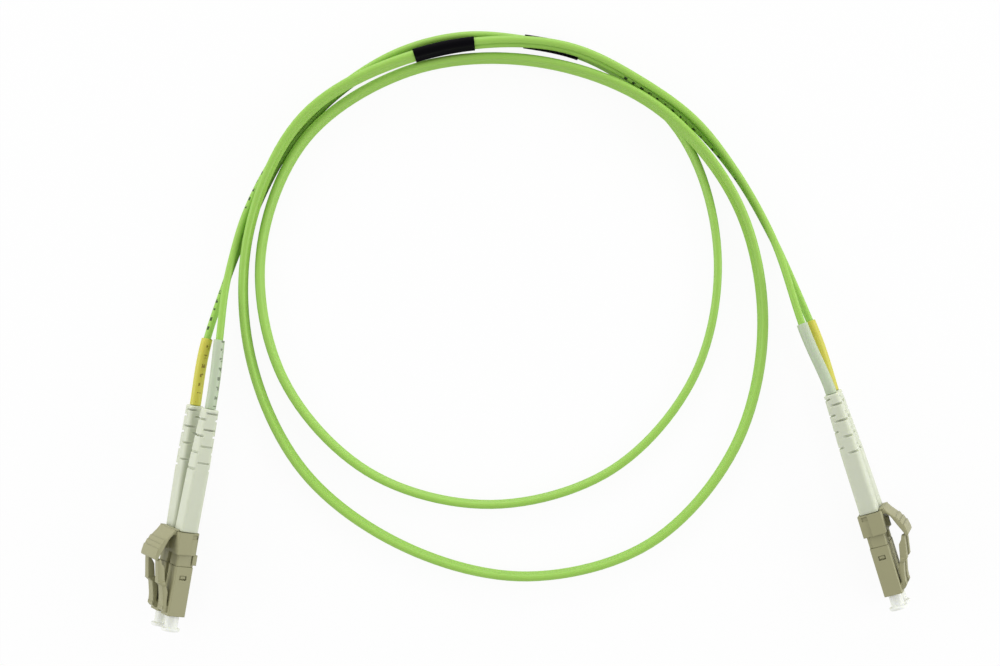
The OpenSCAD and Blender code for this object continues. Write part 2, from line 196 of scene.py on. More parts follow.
# %% [markdown]
# ## Materials
# Every surface here is a moulded, extruded or ground material. A picture wrapped
# round it would blur close up, so each is one Principled shader with the colour
# of the real one, a roughness that follows how it was made and a faint bump at
# a real scale. Colours are written as on a screen, so they are turned to linear
# light first.

# %% Nodes and colours
def linear(hex_colour):
    """sRGB hex to linear: below 0.04045 divide by 12.92, else the 2.4 power."""
    channel = np.array([int(hex_colour[i : i + 2], 16) for i in (1, 3, 5)]) / 255
    low, high = channel / 12.92, ((channel + 0.055) / 1.055) ** 2.4
    return (*np.where(channel <= 0.04045, low, high).tolist(), 1.0)


def add_node(tree, kind, links=None, **settings):
    """Adds a node. Keys of links are input names or numbers: a socket is linked
    and anything else is set as the value. settings are the node's own fields."""
    node = tree.nodes.new(kind)
    for key, value in settings.items():
        setattr(node, key, value)
    for key, value in (links or {}).items():
        if isinstance(value, bpy.types.NodeSocket):
            tree.links.new(value, node.inputs[key])
        else:
            node.inputs[key].default_value = value
    return node


def new_material(name):
    """Material without nodes, and its tree."""
    material = bpy.data.materials.new(name)
    material.use_nodes = True
    material.node_tree.nodes.clear()
    return material, material.node_tree


def finish_material(tree, shader):
    """Links a shader to the material's output."""
    add_node(tree, "ShaderNodeOutputMaterial", {"Surface": shader})


def noise(tree, size_mm, detail):
    """Noise from 0 to 1, fixed to the object, in spots size_mm across."""
    where = add_node(tree, "ShaderNodeTexCoord").outputs["Object"]
    inputs = {"Vector": where, "Scale": 1 / (size_mm * MM), "Detail": detail}
    return add_node(tree, "ShaderNodeTexNoise", inputs).outputs["Fac"]


def mix(tree, share, first, second):
    """Colour first x (1 - share) + second x share. The colour sockets of a Mix
    node are 6 and 7, and 2 is the result."""
    inputs = {0: share, 6: first, 7: second}
    return add_node(tree, "ShaderNodeMix", inputs, data_type="RGBA").outputs[2]


def cloudy(tree, colour, size_mm, dark, detail):
    """The colour with soft patches size_mm across that go down to dark x colour."""
    base = linear(colour)
    return mix(tree, noise(tree, size_mm, detail), [c * dark for c in base[:3]] + [1], base)


def grain_bump(tree, size_mm, height_mm, edge_mm=0.0):
    """Bump from noise whose grains are size_mm across and height_mm high, over
    edges that catch the light as if they were rounded by edge_mm."""
    grains = noise(tree, size_mm, 2.0)
    inputs = {"Height": grains, "Distance": height_mm * MM, "Strength": 1.0}
    if edge_mm:
        edges = add_node(tree, "ShaderNodeBevel", {"Radius": edge_mm * MM}, samples=6)
        inputs["Normal"] = edges.outputs[0]
    return add_node(tree, "ShaderNodeBump", inputs).outputs["Normal"]


print("mid grey is", round(linear("#808080")[0], 3), "in linear light")

# %% [markdown]
# The plug bodies are moulded in a glass-filled engineering plastic, beige for
# multimode plugs. The mould is spark-eroded, which leaves a fine even matt
# grain. The boots are a soft elastomer that lets a little light through, and
# the dust caps are plain polyethylene, waxy and nearly white.

# %% Moulded plastics
PLASTIC_IOR = 1.5
PATCH_MM, PATCH_DARK = 6, 0.96
MOULDED_SPREAD = (1.0, 1.0, 0.8)


def moulded(
    name, colour, rough, grain_mm, height_mm, depth_mm=0.0, glow=0.0, gloss=0.5, edge_mm=0.0
):
    """Moulded plastic. Light enters it by depth_mm where glow is above 0. A gloss
    below 0.5 stands for a surface so rough that it reflects less, and edge_mm is
    the radius that its edges show."""
    material, tree = new_material(name)
    inputs = {
        "Base Color": cloudy(tree, colour, PATCH_MM, PATCH_DARK, 1.0),
        "Roughness": rough,
        "Normal": grain_bump(tree, grain_mm, height_mm, edge_mm),
        "IOR": PLASTIC_IOR,
        "Specular IOR Level": gloss,
    }
    if glow:
        inputs["Subsurface Weight"] = glow
        inputs["Subsurface Radius"] = MOULDED_SPREAD
        inputs["Subsurface Scale"] = depth_mm * MM
    finish_material(tree, add_node(tree, "ShaderNodeBsdfPrincipled", inputs).outputs[0])
    return material


PLUG_PLASTIC = moulded("beige PBT, spark-eroded mould", "#9D9B76", 0.48, 0.12, 0.004, edge_mm=0.3)
BOOT_RUBBER = moulded("grey-green TPE, moulded", "#CFD4C0", 0.55, 0.15, 0.003, 1.2, 0.5)
CAP_PLASTIC = moulded("natural polyethylene, moulded", "#EEF0E9", 0.4, 0.2, 0.002, 0.8, 0.3)
SHRINK_TUBE = moulded("black polyolefin shrink tube", "#050408", 0.6, 0.3, 0.01, gloss=0.05)
BUFFER = moulded("natural nylon fibre buffer", "#F2EFE4", 0.35, 0.1, 0.001)
print("moulded plastics:", [m.name for m in bpy.data.materials][-5:])

# %% [markdown]
# The cord's jacket and the marker sleeves are extruded, so their surface is
# smooth round the cord. Both are printed by a wheel as they are made, and the
# print wears. Here the print is a plain row of broken dashes: the pattern is
# worked out from the piece's own UV map, whose first number is the length along
# the piece in millimetres and whose second is the turn round it. A cord twists
# as it lies, so a row faces up in a few stretches only, and drifts round there.

# %% Ink
DASH_PITCH, DASH_LENGTH, DASH_HALF_TURN = 2.3, 0.9, 0.06
WEAR_MM, WEAR_LEVEL = 0.8, 0.47


def ink_row(tree, stretches):
    """1 on ink, else 0. Each stretch is (from mm, to mm, turn at from, turn at to).
    Its dashes repeat every DASH_PITCH mm, within DASH_HALF_TURN of a turn that
    changes evenly along it. Noise as fine as a dash breaks them."""
    uv = add_node(tree, "ShaderNodeUVMap", uv_map=MAP_NAME).outputs[0]
    parts = add_node(tree, "ShaderNodeSeparateXYZ", {0: uv})
    along, turn = parts.outputs[0], parts.outputs[1]

    def math(operation, a, b=0.0, c=0.0):
        return add_node(
            tree, "ShaderNodeMath", {0: a, 1: b, 2: c}, operation=operation
        ).outputs[0]

    rows = 0.0
    for start, stop, turn_from, turn_to in stretches:
        share = math("DIVIDE", math("SUBTRACT", along, start), stop - start)
        inside = math("LESS_THAN", math("ABSOLUTE", math("SUBTRACT", share, 0.5)), 0.5)
        centre = math("MULTIPLY_ADD", share, turn_to - turn_from, turn_from)
        off = math("ABSOLUTE", math("WRAP", math("SUBTRACT", turn, centre), 0.5, -0.5))
        on_row = math("LESS_THAN", off, DASH_HALF_TURN)
        rows = math("MAXIMUM", rows, math("MULTIPLY", inside, on_row))
    dashes = math("LESS_THAN", math("FLOORED_MODULO", along, DASH_PITCH), DASH_LENGTH)
    kept = math("GREATER_THAN", noise(tree, WEAR_MM, 1.0), WEAR_LEVEL)
    return math("MULTIPLY", math("MULTIPLY", rows, dashes), kept)


# %% Extruded tubes
CLOUD_MM, CLOUD_DARK = 9, 0.94
DRAWN_MM, DRAWN_HEIGHT = 0.25, 0.0015
EXTRUDED_GLOW, EXTRUDED_DEPTH, EXTRUDED_SPREAD = 0.2, 0.5, (0.6, 1.0, 0.4)


def extruded(name, colour, rough, stretches, ink):
    """Extruded tube: slightly cloudy colour, fine surface bump and printed dashes.
    A little light spreads inside the soft plastic and fills its shaded side."""
    material, tree = new_material(name)
    bare = cloudy(tree, colour, CLOUD_MM, CLOUD_DARK, 2.0)
    inputs = {
        "Base Color": mix(tree, ink_row(tree, stretches), bare, linear(ink)),
        "Roughness": rough,
        "IOR": PLASTIC_IOR,
        "Normal": grain_bump(tree, DRAWN_MM, DRAWN_HEIGHT),
        "Subsurface Weight": EXTRUDED_GLOW,
        "Subsurface Radius": EXTRUDED_SPREAD,
        "Subsurface Scale": EXTRUDED_DEPTH * MM,
    }
    finish_material(tree, add_node(tree, "ShaderNodeBsdfPrincipled", inputs).outputs[0])
    return material


# The maps start at different lengths, so that one stretch means one leg, and
# only the left sleeves, whose print faces up, fall into theirs.
LEG_START = {"a": 0, "b": 2000}
SLEEVE_START = {"left": 0, "right": 100}
JACKET_PRINT = ((40, 54, 0.17, 0.15), (930, 969, 0.33, 0.42), (2072.5, 2083, 0.14, 0.1))
YELLOW_PRINT = ((0.6, 17, 0.32, 0.37),)
WHITE_PRINT = ((0.6, 17, 0.4, 0.4),)
JACKET = extruded("green LSZH cable jacket", "#9CCB56", 0.45, JACKET_PRINT, "#2C4416")
SLEEVES = {
    "a": extruded("yellow PVC marker sleeve", "#CEC94B", 0.42, YELLOW_PRINT, "#8C7E22"),
    "b": extruded("white PVC marker sleeve", "#BAC7AB", 0.42, WHITE_PRINT, "#76826A"),
}
print("extruded tubes:", [m.name for m in bpy.data.materials][-3:])

# %% [markdown]
# Inside the plug are a ground zirconia ferrule, a turned steel flange, a coiled
# steel spring and a drawn crimp sleeve. They show only when a dust cap is
# drawn off, so each is one plain shader. A metal keeps the default IOR.

# %% Ceramic and metals
def plain(name, colour, rough, metallic=0.0):
    """One Principled shader with set values."""
    material, tree = new_material(name)
    inputs = {"Base Color": linear(colour), "Roughness": rough, "Metallic": metallic}
    finish_material(tree, add_node(tree, "ShaderNodeBsdfPrincipled", inputs).outputs[0])
    return material


ZIRCONIA = plain("zirconia ceramic, polished", "#F4F3EE", 0.12)
TURNED_STEEL = plain("stainless steel, turned", "#C9CBCD", 0.28, 1.0)
SPRING_WIRE = plain("stainless spring wire, drawn", "#B9BCBF", 0.3, 1.0)
CRIMP_METAL = plain("nickel-plated brass, drawn", "#D5D0C2", 0.25, 1.0)
print("materials so far:", len(bpy.data.materials))

# %% [markdown]
# ## The route of the cord
# The cord is one smooth curve from the left plugs to the right ones. A simulated
# cord would find a lie of its own, so the points are listed, the same as in
# the CAD source: x, y and z of the middle of the pair, then the turn of the line
# from leg a to leg b, from level, and half their distance. A cubic goes through
# every point. Its slope there is the mean of the slopes of the two spans beside
# the point, each weighted by the other's length.

# %% Route points
BOOT_LENGTH = 30
CRIMP_DEPTH = 7
BOOT_LEAN = 1.5
ROUTE_BY_HAND = [
    (-75.5, 40.8, 5.6, 143, 2.05), (-72, 57.2, 2.8, 92, 1.05),
    (-67, 71.7, 1.75, 42, 1.1), (-59, 86.7, 1.75, 50, 0.97),
    (-45.5, 101.2, 1.75, 62, 0.92), (-28.5, 111.2, 1.8, 64, 0.92),
    (-14.5, 114.2, 1.9, 64, 0.92), (-0.5, 113.2, 2.05, 64, 0.92),
    (13, 110.2, 2.05, 64, 0.92), (37, 91.7, 1.85, 80, 0.92),
    (46.5, 62.2, 1.85, 90, 0.92), (41, 32.2, 1.85, 88, 0.92),
    (21, 9.2, 1.85, 84, 0.92), (-8.5, 0.7, 1.85, 82, 0.92),
    (-38.5, 8.7, 1.85, 80, 0.92), (-59, 31.2, 1.85, 78, 0.92),
    (-64.5, 61.2, 1.8, 76, 0.92), (-53.5, 89.7, 1.85, 70, 0.92),
    (-28, 106.2, 1.95, 66, 0.92), (2.5, 108.2, 3.5, 62, 0.92),
    (31, 97.2, 5.9, 62, 0.92), (51, 73.7, 4.4, 66, 0.92),
    (57.5, 44.2, 2, 68, 0.92), (50.5, 14.2, 1.85, 74, 0.92),
    (30, -8.8, 1.85, 78, 0.92), (0.5, -16.8, 1.85, 76, 0.92),
    (-29, -9.8, 1.85, 72, 0.92), (-54, 8.7, 1.9, 70, 0.92),
    (-67, 36.7, 2.05, 74, 0.92), (-67, 67.2, 3.8, 78, 0.92),
    (-53.5, 94.7, 5.9, 68, 0.92), (-27, 109.2, 5.8, 64, 0.92),
    (-12.5, 112.2, 5.75, 64, 0.92), (11.5, 110.7, 5.7, 64, 0.92),
    (27.5, 102.7, 5.9, 58, 0.97), (40, 93.7, 4.7, 56, 1.05),
    (50.5, 81.7, 2.4, 82, 1), (59, 67.2, 2.25, 94, 1.02),
    (67.4, 44.9, 5.9, 128, 1.95),
]


def lean_of(end, leg):
    """Degrees that a boot leans up behind its crimp: the left boots lean apart,
    the right ones the same way, the upper one half as far."""
    if end == "left":
        return -side_of(end, leg) * BOOT_LEAN
    return -BOOT_LEAN if leg == "a" else -BOOT_LEAN / 2


def lead_in(end, back):
    """Route point inside a plug pair, back mm behind its clip. Each leg is lifted
    by way x tan(lean) behind the crimp, so the line between them turns."""
    place, _, roll = PLACES[end]
    axes = pair_axes(end)
    lift = [(back - CRIMP_DEPTH) * np.tan(np.radians(lean_of(end, leg))) for leg in "ab"]
    rise = lift[1] - lift[0]
    point = np.array(place) - back * axes[:, 0] + np.mean(lift) * axes[:, 2]
    turn = 180 + (-roll if end == "left" else roll) - np.degrees(np.arctan2(rise, PITCH))
    return (*point, turn, np.hypot(PITCH, rise) / 2)


ROUTE = np.array(
    [lead_in("left", CRIMP_DEPTH), lead_in("left", BOOT_LENGTH)]
    + ROUTE_BY_HAND
    + [lead_in("right", BOOT_LENGTH), lead_in("right", CRIMP_DEPTH)]
)
LAST_POINT = len(ROUTE) - 1
SPANS = np.linalg.norm(np.diff(ROUTE[:, :3], axis=0), axis=1)
print(len(ROUTE), "points,", round(SPANS.sum()), "mm of chords")

# %% Curve through the route
PER_SPAN = 12
steps = np.diff(ROUTE, axis=0)
before, after = SPANS[:-1, None], SPANS[1:, None]
RATES = np.zeros_like(ROUTE)
RATES[1:-1] = (steps[:-1] * after / before + steps[1:] * before / after) / (before + after)
RATES[:2] = [*-pair_axes("left")[:, 0], 0, 0]
RATES[-2:] = [*pair_axes("right")[:, 0], 0, 0]


def cord_frames(u):
    """Middle, direction to leg b, the direction square to it, half gap, level
    and up directions at route numbers u, such as 2.5 between points 2 and 3. The
    cubic is (2t^3-3t^2+1) a + (t^3-2t^2+t) ra + (3t^2-2t^3) b + (t^3-t^2) rb."""
    u = np.asarray(u, float)
    i = np.minimum(u.astype(int), LAST_POINT - 1)
    t, h = (u - i)[:, None], SPANS[i][:, None]
    a, b, ra, rb = ROUTE[i], ROUTE[i + 1], RATES[i] * h, RATES[i + 1] * h
    point = (2 * t**3 - 3 * t**2 + 1) * a + (t**3 - 2 * t**2 + t) * ra
    point += (3 * t**2 - 2 * t**3) * b + (t**3 - t**2) * rb
    along = (6 * t**2 - 6 * t) * (a - b) + (3 * t**2 - 4 * t + 1) * ra + (3 * t**2 - 2 * t) * rb
    along = along[:, :3] / np.linalg.norm(along[:, :3], axis=1)[:, None]
    level = np.cross([0.0, 0.0, 1.0], along)
    level /= np.linalg.norm(level, axis=1)[:, None]
    up = np.cross(along, level)
    turn = np.radians(point[:, 3])[:, None]
    across = np.cos(turn) * level + np.sin(turn) * up
    return point[:, :3], across, np.cross(along, across), point[:, 4:5], level, up


def route_numbers(start, stop):
    """Evenly spaced route numbers, PER_SPAN to each span."""
    return np.linspace(start, stop, int(round((stop - start) * PER_SPAN)) + 1)


def length_along(points):
    """Distance from the first point to each, along straight chords."""
    return np.r_[0, np.cumsum(np.linalg.norm(np.diff(points, axis=0), axis=1))]


middle = cord_frames(route_numbers(0, LAST_POINT))[0]
print("middle of the pair is", round(length_along(middle)[-1]), "mm long")

# %% [markdown]
# ## The two legs
# A leg is a circle carried along its own line, which runs half the gap to one
# side of the pair's middle. Where the gap and its turn change, the legs part,
# cross and close up again, just as the real ones do behind the black bands. A
# bevelled curve would give the same tube, but a grid also gets a map in
# millimetres, which the print needs.

# %% Legs
LEG_RADIUS = 0.9
LEG_SIDES = 20
SIDE = {"a": -1, "b": 1}


def leg_line(leg, u):
    """Middle of one leg: the pair's middle, half the gap to one side."""
    point, across, _, half, _, _ = cord_frames(u)
    return point + SIDE[leg] * half * across


def tube_grid(line, level, up, radius, sides):
    """Circle of the given radius round each point: line + r (cos a level + sin a up)."""
    a = np.arange(sides) * 2 * np.pi / sides
    circle = np.cos(a)[None, :, None] * level[:, None] + np.sin(a)[None, :, None] * up[:, None]
    return line[:, None] + np.reshape(radius, (-1, 1, 1)) * circle


def tube_uv(line, sides, start):
    """Length along the tube in mm from start, and the turn round it from 0 to 1."""
    rows = np.broadcast_to(start + length_along(line)[:, None], (len(line), sides))
    return np.stack([rows, np.broadcast_to(np.arange(sides) / sides, rows.shape)], axis=2)


legs = {}
leg_u = route_numbers(0, LAST_POINT)
for leg in ("a", "b"):
    _, _, _, _, level, up = cord_frames(leg_u)
    line = leg_line(leg, leg_u)
    grid = tube_grid(line, level, up, LEG_RADIUS, LEG_SIDES) * MM
    mesh = grid_mesh(f"leg_{leg}_jacket", grid, uv=tube_uv(line, LEG_SIDES, LEG_START[leg]))
    legs[leg] = add_piece(f"leg_{leg}_jacket", mesh, JACKET)
    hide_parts(f"leg_{leg}")
    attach(legs[leg], "root")

# %% [markdown]
# ## The web of the zip cord
# Between the black bands a web joins the legs. It was extruded with them, so it
# is thinnest halfway and thickens into each leg. Its section is a strip whose
# half thickness grows with the square of the distance from the middle. It is a
# piece of its own, since a union with the legs would spoil their maps. Its own
# map stays at zero, where there is no print.

# %% Web
WEB_STRETCH = (9.5, 33.5)
WEB_REACH, WEB_STEPS = 0.6, 6
WEB_THIN, WEB_FLARE = 0.76, 0.25


def web_grid(u):
    """Strip of half thickness thin + flare x w^2, for w from -reach to reach."""
    point, across, square, _, _, _ = cord_frames(u)
    w = np.linspace(-WEB_REACH, WEB_REACH, WEB_STEPS + 1)
    half = WEB_THIN + WEB_FLARE * w**2
    w, half = np.r_[w, w[::-1]][:, None], np.r_[half, -half[::-1]][:, None]
    return point[:, None] + w * across[:, None] + half * square[:, None]


web_mesh = grid_mesh("web_jacket", web_grid(route_numbers(*WEB_STRETCH)) * MM)
web_mesh.uv_layers.new(name=MAP_NAME)
web = add_piece("web_jacket", web_mesh, JACKET)
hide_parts("zip_web")
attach(web, "root")
print("web has", len(web.data.polygons), "faces")

# %% [markdown]
# ## Bands and marker sleeves
# A black shrink tube holds the legs together where the zip cord starts. Shrunk
# over two round cords, it is a long rounded loop, pulled in a little between
# them. A marker sleeve is a loose round tube over one leg. A Solidify modifier
# would leave square rims, so both are closed grids: they go out along the
# outside and come back along the inside, with rounded rims, and both directions
# wrap.

# %% Wall of a tube
WALL_RIM = 0.12
WALL_STEPS = 10


def there_and_back(stretch, outer, inner, length_mm):
    """Route numbers and radii of a tube's wall: outside forward, inside back. The
    rims are quarter-rounds, run = rim (1 - cos a) and rise = rim sin a."""
    start, stop = stretch
    a = np.linspace(0, np.pi / 2, 4)
    rim = outer - WALL_RIM + WALL_RIM * np.sin(a)
    run = WALL_RIM * (1 - np.cos(a)) / length_mm * (stop - start)
    outside = np.linspace(start, stop, WALL_STEPS + 1)
    u = np.r_[start + run, outside[1:-1], (stop - run)[::-1], outside[::-1]]
    radius = np.r_[rim, np.full(WALL_STEPS - 1, outer), rim[::-1], np.full(WALL_STEPS + 1, inner)]
    return u, radius


print("a wall has", len(there_and_back((0, 1), 1.0, 0.5, 10)[0]), "rings")

# %% Bands
BANDS = {"band_left": (9, 10), "band_right": (33, 34)}
BAND_LENGTH = 14.5
BAND_OUTER, BAND_INNER, BAND_PINCH = 1.2, 0.93, 0.13
HALF_CIRCLE, NECK_STEPS = 10, 6


def band_grid(stretch):
    """Loop round both legs: a half circle on each, half the gap from the middle,
    joined by two lines pulled in by pinch (1 - b^2), b from 1 to -1 between."""
    u, radius = there_and_back(stretch, BAND_OUTER, BAND_INNER, BAND_LENGTH)
    radius = radius[:, None]
    point, across, square, half, _, _ = cord_frames(u)
    side = np.repeat([1.0, -1.0], HALF_CIRCLE + 1)
    a = np.tile(np.linspace(0, np.pi, HALF_CIRCLE + 1), 2) - side * np.pi / 2
    x, y = side * half + radius * np.cos(a), radius * np.sin(a)
    b = np.linspace(1, -1, NECK_STEPS + 1)[1:-1]
    neck = radius - BAND_PINCH * (1 - b**2)
    on_b, on_a = slice(None, HALF_CIRCLE + 1), slice(HALF_CIRCLE + 1, None)
    x = np.hstack([x[:, on_b], b * half, x[:, on_a], -b * half])[..., None]
    y = np.hstack([y[:, on_b], neck, y[:, on_a], -neck])[..., None]
    return point[:, None] + x * across[:, None] + y * square[:, None]


for name, stretch in BANDS.items():
    mesh = grid_mesh(f"{name}_tube", band_grid(stretch) * MM, wrap_rows=True)
    band = add_piece(f"{name}_tube", mesh, SHRINK_TUBE)
    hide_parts(name)
    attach(band, "root")
    print(name, "starts at", np.round(ROUTE[stretch[0], :3]).tolist(), "mm")

# %% Marker sleeves
SLEEVE_LENGTH = 17.6
SLEEVE_OUTER, SLEEVE_INNER = 1.35, 0.95
SLEEVE_SIDES = 24
SLEEVE_STRETCH = {"left": (1, 2), "right": (LAST_POINT - 2, LAST_POINT - 1)}
sleeves = {"a": [], "b": []}
for end, leg in PLUGS:
    u, radius = there_and_back(SLEEVE_STRETCH[end], SLEEVE_OUTER, SLEEVE_INNER, SLEEVE_LENGTH)
    _, _, _, _, level, up = cord_frames(u)
    line = leg_line(leg, u)
    grid = tube_grid(line, level, up, radius, SLEEVE_SIDES)
    name = f"{end}_{leg}_sleeve"
    uv = tube_uv(line, SLEEVE_SIDES, SLEEVE_START[end])
    mesh = grid_mesh(name, grid * MM, wrap_rows=True, uv=uv)
    sleeve = add_piece(name, mesh, SLEEVES[leg])
    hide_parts(f"{end}_{leg}_id_sleeve")
    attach(sleeve, "root")
    sleeves[leg].append(sleeve)
print("sleeves:", [sleeve.name for leg in sleeves for sleeve in sleeves[leg]])

# %% [markdown]
# What sits on each leg is listed: the sleeves on each leg, and the web and
# bands with leg a. The number of these pieces is printed for each leg.

ON_THE_LEGS = {"a": ["web_jacket", "band_left_tube", "band_right_tube"], "b": []}
for leg, others in ON_THE_LEGS.items():
    line = leg_line(leg, leg_u) * MM
    print("leg", leg, "carries", len(sleeves[leg]) + len(others), "pieces")

# %% [markdown]
# ## Boots
# A boot is a long soft cone with a square section and round corners. Near its
# rear end slits let it bend without kinking: a short one in each of two sides,
# then a long one in each of the other two, and so on. The boots turn with their
# legs, so the slits face different ways. They could be cut with booleans, but
# those leave ragged edges in a smooth cone, so they are part of its radius.
# Round the section the radius is that of a rounded square: the distance from the
# axis to the straight side, or to the corner's arc. A slit is a flat floor, so
# there the radius is floor / cos of the angle from the middle of the slit, where
# that is less.

# %% Boots
BOOT_SIDES, BOOT_STEPS = 128, 60
BOOT_REAR, BOOT_FRONT = 0.1 - BOOT_LENGTH, -0.1
HALF_WIDTHS = ((-BOOT_LENGTH, 1.8), (-BOOT_LENGTH / 2, 2.2), (0, 2.3))
BOOT_CORNER = 0.9
REAR_RIM, FRONT_RIM = 0.3, 0.2
BORE = ((2, 0.98), (0.1, 1.0), (0, 1.1))
# Each pair of slits: where the short ones start from the rear, and how far from
# the axis the floors lie. The long ones start SLIT_STEP further on.
SLITS = ((0.9, 1.15), (4.9, 1.15), (8.9, 1.65), (12.9, 1.75))
SHORT_WIDTH, LONG_WIDTH, SLIT_STEP = 0.4, 0.5, 1.5
SHORT_REACH = 1.5
SLIT_LIP = 0.04
SLIT_TURN = {("left", "a"): 50, ("left", "b"): 0, ("right", "a"): 45, ("right", "b"): 60}


def rounded_square(angle, half, corner):
    """Distance from the axis to a square of half width half with round corners.
    Along the direction (c, s) in the first eighth-turns: half / c on the flat,
    else the far root of |(r c - q, r s - q)| = corner with q = half - corner."""
    c, s = np.abs(np.cos(angle)), np.abs(np.sin(angle))
    q = half - corner
    flat = half / np.maximum(c, s)
    b = q * (c + s)
    arc = b + np.sqrt(np.maximum(b**2 - 2 * q**2 + corner**2, 0))
    on_flat = flat * np.minimum(c, s) <= q
    return np.where(on_flat, flat, arc)


def slit_radius(x, angle, radius):
    """The radius, or floor / |sin| in a long slit, and floor / |cos| in a short
    one, which goes SHORT_REACH to each side of its middle, if that is less."""
    c, s = np.maximum(np.abs([np.cos(angle), np.sin(angle)]), 0.01)
    for start, floor in SLITS:
        first = start - BOOT_LENGTH
        inside = (x > first) & (x < first + SHORT_WIDTH) & (radius * s < SHORT_REACH)
        radius = np.where(inside, np.minimum(radius, floor / c), radius)
        inside = (x > first + SLIT_STEP) & (x < first + SLIT_STEP + LONG_WIDTH)
        radius = np.where(inside, np.minimum(radius, floor / s), radius)
    return radius


def boot_grid(slit_turn):
    """Rings (x, r cos a, r sin a) along the boot. The half width of its square
    follows HALF_WIDTHS, its rims are quarter-rounds, and at the rear it turns
    into the leg's bore. A ring stands on both lips of every slit."""
    first = np.array([start for start, _ in SLITS]) - BOOT_LENGTH
    second = first + SLIT_STEP
    lips = np.r_[first, first + SHORT_WIDTH, second, second + LONG_WIDTH]
    lips = (lips[:, None] + np.array([-SLIT_LIP, SLIT_LIP])).ravel()
    even = np.linspace(BOOT_REAR + REAR_RIM, BOOT_FRONT - FRONT_RIM, BOOT_STEPS)
    x = np.unique(np.r_[even, lips])
    half = np.interp(x, *np.transpose(HALF_WIDTHS))
    angle = np.arange(BOOT_SIDES) * 2 * np.pi / BOOT_SIDES
    radius = rounded_square(angle[None], half[:, None], BOOT_CORNER)
    radius = slit_radius(x[:, None], angle[None] - np.radians(slit_turn), radius)
    a = np.linspace(0, np.pi / 2, 5)[:-1]
    fall, run = (1 - np.sin(a))[:, None], 1 - np.cos(a)
    rear = radius[:1] - REAR_RIM * fall
    front = (radius[-1:] - FRONT_RIM * fall)[::-1]
    bore_in, bore_radius = np.transpose(BORE)
    bore = np.repeat(bore_radius[:, None], BOOT_SIDES, axis=1)
    rear_x, front_x = BOOT_REAR + REAR_RIM * run, (BOOT_FRONT - FRONT_RIM * run)[::-1]
    rings = np.r_[BOOT_REAR + bore_in, rear_x, x, front_x]
    radius = np.vstack([bore, rear, radius, front])
    yz = radius[..., None] * np.stack([np.cos(angle), np.sin(angle)], axis=1)[None]
    along = np.broadcast_to(rings[:, None, None], (*yz.shape[:2], 1))
    return np.concatenate([along, yz], axis=2)


def leaned(points, degrees):
    """Turns points about the y line through the crimp, with x from there:
    x' = x cos + z sin and z' = z cos - x sin."""
    c, s = np.cos(np.radians(degrees)), np.sin(np.radians(degrees))
    x, y, z = points[..., 0] + CRIMP_DEPTH, points[..., 1], points[..., 2]
    return np.stack([x * c + z * s - CRIMP_DEPTH, y, z * c - x * s], axis=-1)


print("boot grid", boot_grid(0).shape)
for end, leg in PLUGS:
    name = f"{end}_{leg}_boot_skin"
    points = leaned(boot_grid(SLIT_TURN[end, leg]), lean_of(end, leg))
    mesh = grid_mesh(name, to_scene(points, end, leg))
    boot = add_piece(name, mesh, BOOT_RUBBER, sharp=50)
    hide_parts(f"{end}_{leg}_boot")
    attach(boot, "root")

# %% [markdown]
# ## Plug bodies from the CAD solids
# The nose, the rear body and the clip have the right shape in CAD, but their
# edges are knife-sharp. A moulding has small radii everywhere, and they catch
# the light. Building them anew would only repeat the CAD source, so each is a
# merged copy of its solid with a bevel of a tenth of a millimetre, which stands
# for the solid.

# %% Bevelled copies
PLUG_BEVEL, CLIP_BEVEL = 0.1, 0.12
FLAT_ANGLE, EDGE_ANGLE = 0.5, 40


def bevelled_copy(node_name, piece_name, bevel_mm):
    """Copy of a CAD solid: doubles merged, flat faces joined, edges bevelled."""
    mesh = bpy.data.meshes.new(piece_name)
    work = bmesh.new()
    work.from_mesh(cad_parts[node_name].data)
    bmesh.ops.remove_doubles(work, verts=work.verts, dist=SAME_POINT)
    flat = np.radians(FLAT_ANGLE)
    bmesh.ops.dissolve_limit(work, angle_limit=flat, verts=work.verts, edges=work.edges)
    bmesh.ops.recalc_face_normals(work, faces=work.faces)
    work.to_mesh(mesh)
    work.free()
    piece = add_piece(piece_name, mesh, PLUG_PLASTIC, sharp=30)
    bevel = piece.modifiers.new("moulded edges", "BEVEL")
    bevel.width = bevel_mm * MM
    bevel.segments = 2
    bevel.limit_method = "ANGLE"
    bevel.angle_limit = np.radians(EDGE_ANGLE)
    bevel.harden_normals = True
    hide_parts(node_name)
    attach(piece, "root")
    print(piece_name, "has", len(mesh.polygons), "faces before its bevel")


for end, leg in PLUGS:
    bevelled_copy(f"{end}_{leg}_housing", f"{end}_{leg}_nose", PLUG_BEVEL)
    bevelled_copy(f"{end}_{leg}_rear_body", f"{end}_{leg}_rear_shell", PLUG_BEVEL)
for end in PLACES:
    bevelled_copy(f"{end}_clip", f"{end}_clip_shell", CLIP_BEVEL)

# %% [markdown]
# ## Latches and triggers
# Both are bent plastic arms. A side outline could be extruded, but the latch
# gets wider and narrower along its length. So an arm is a strip between two
# curves, its outside and its inside, with a width that changes along it and
# rounded edges. At its root the real arm is one moulding with the plug, and
# bends there.

# %% Arms
CORNER_STEPS = 4
ROUNDEST = 0.95


